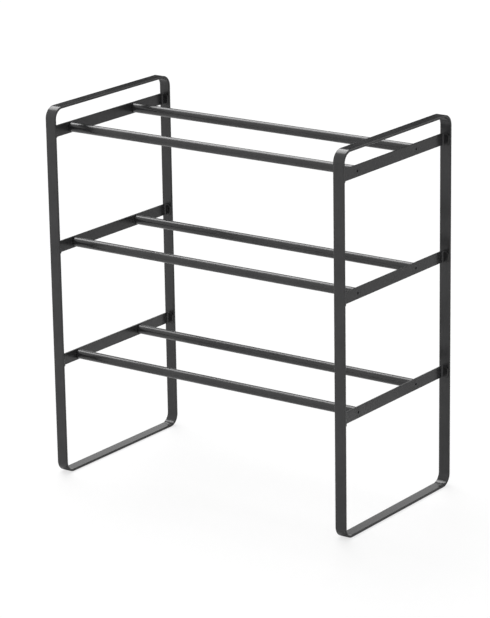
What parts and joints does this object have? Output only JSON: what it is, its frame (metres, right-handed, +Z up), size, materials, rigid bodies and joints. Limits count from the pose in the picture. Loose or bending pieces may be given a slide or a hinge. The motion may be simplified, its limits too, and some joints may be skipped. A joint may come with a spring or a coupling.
{
  "type": "tiered shoe rack",
  "caption": "Extending tiered shoe rack: flat-bar loop side frames joined by pairs of telescoping round rails that shoes rest on.",
  "frame": {"origin": "on the floor, midway between the closed rack's two side frames and midway between front and rear", "axes": "+Z up, +X along the rails to the right-hand frame that slides out, -Y is the front, which the nearer rail of each tier faces"},
  "size_m": [0.44, 0.235, 0.475],
  "materials": {
    "coated_steel": "satin black powder coat",
    "inner_tube_steel": "satin black powder coat, polished a little by sliding",
    "nylon": "moulded black nylon",
    "screw_steel": "black oxide"
  },
  "bodies": {
    "left_half": {"left_side_frame": "coated_steel", "left_bottom_crossbar": "coated_steel", "left_middle_crossbar": "coated_steel", "left_top_crossbar": "coated_steel", "bottom_front_outer_tube": "coated_steel", "bottom_rear_outer_tube": "coated_steel", "middle_front_outer_tube": "coated_steel", "middle_rear_outer_tube": "coated_steel", "top_front_outer_tube": "coated_steel", "top_rear_outer_tube": "coated_steel", "guide_bushes": "nylon", "left_end_plugs": "nylon", "left_rail_screws": "screw_steel"},
    "right_half": {"right_side_frame": "coated_steel", "right_bottom_crossbar": "coated_steel", "right_middle_crossbar": "coated_steel", "right_top_crossbar": "coated_steel", "bottom_front_inner_tube": "inner_tube_steel", "bottom_front_end_glide": "nylon", "bottom_rear_inner_tube": "inner_tube_steel", "bottom_rear_end_glide": "nylon", "middle_front_inner_tube": "inner_tube_steel", "middle_front_end_glide": "nylon", "middle_rear_inner_tube": "inner_tube_steel", "middle_rear_end_glide": "nylon", "top_front_inner_tube": "inner_tube_steel", "top_front_end_glide": "nylon", "top_rear_inner_tube": "inner_tube_steel", "top_rear_end_glide": "nylon", "right_end_plugs": "nylon", "right_rail_screws": "screw_steel"}
  },
  "joints": [
    {"name": "width_slide", "type": "slide", "parent": "left_half", "child": "right_half", "axis": [1, 0, 0], "range_m": [0, 0.3]}
  ]
}
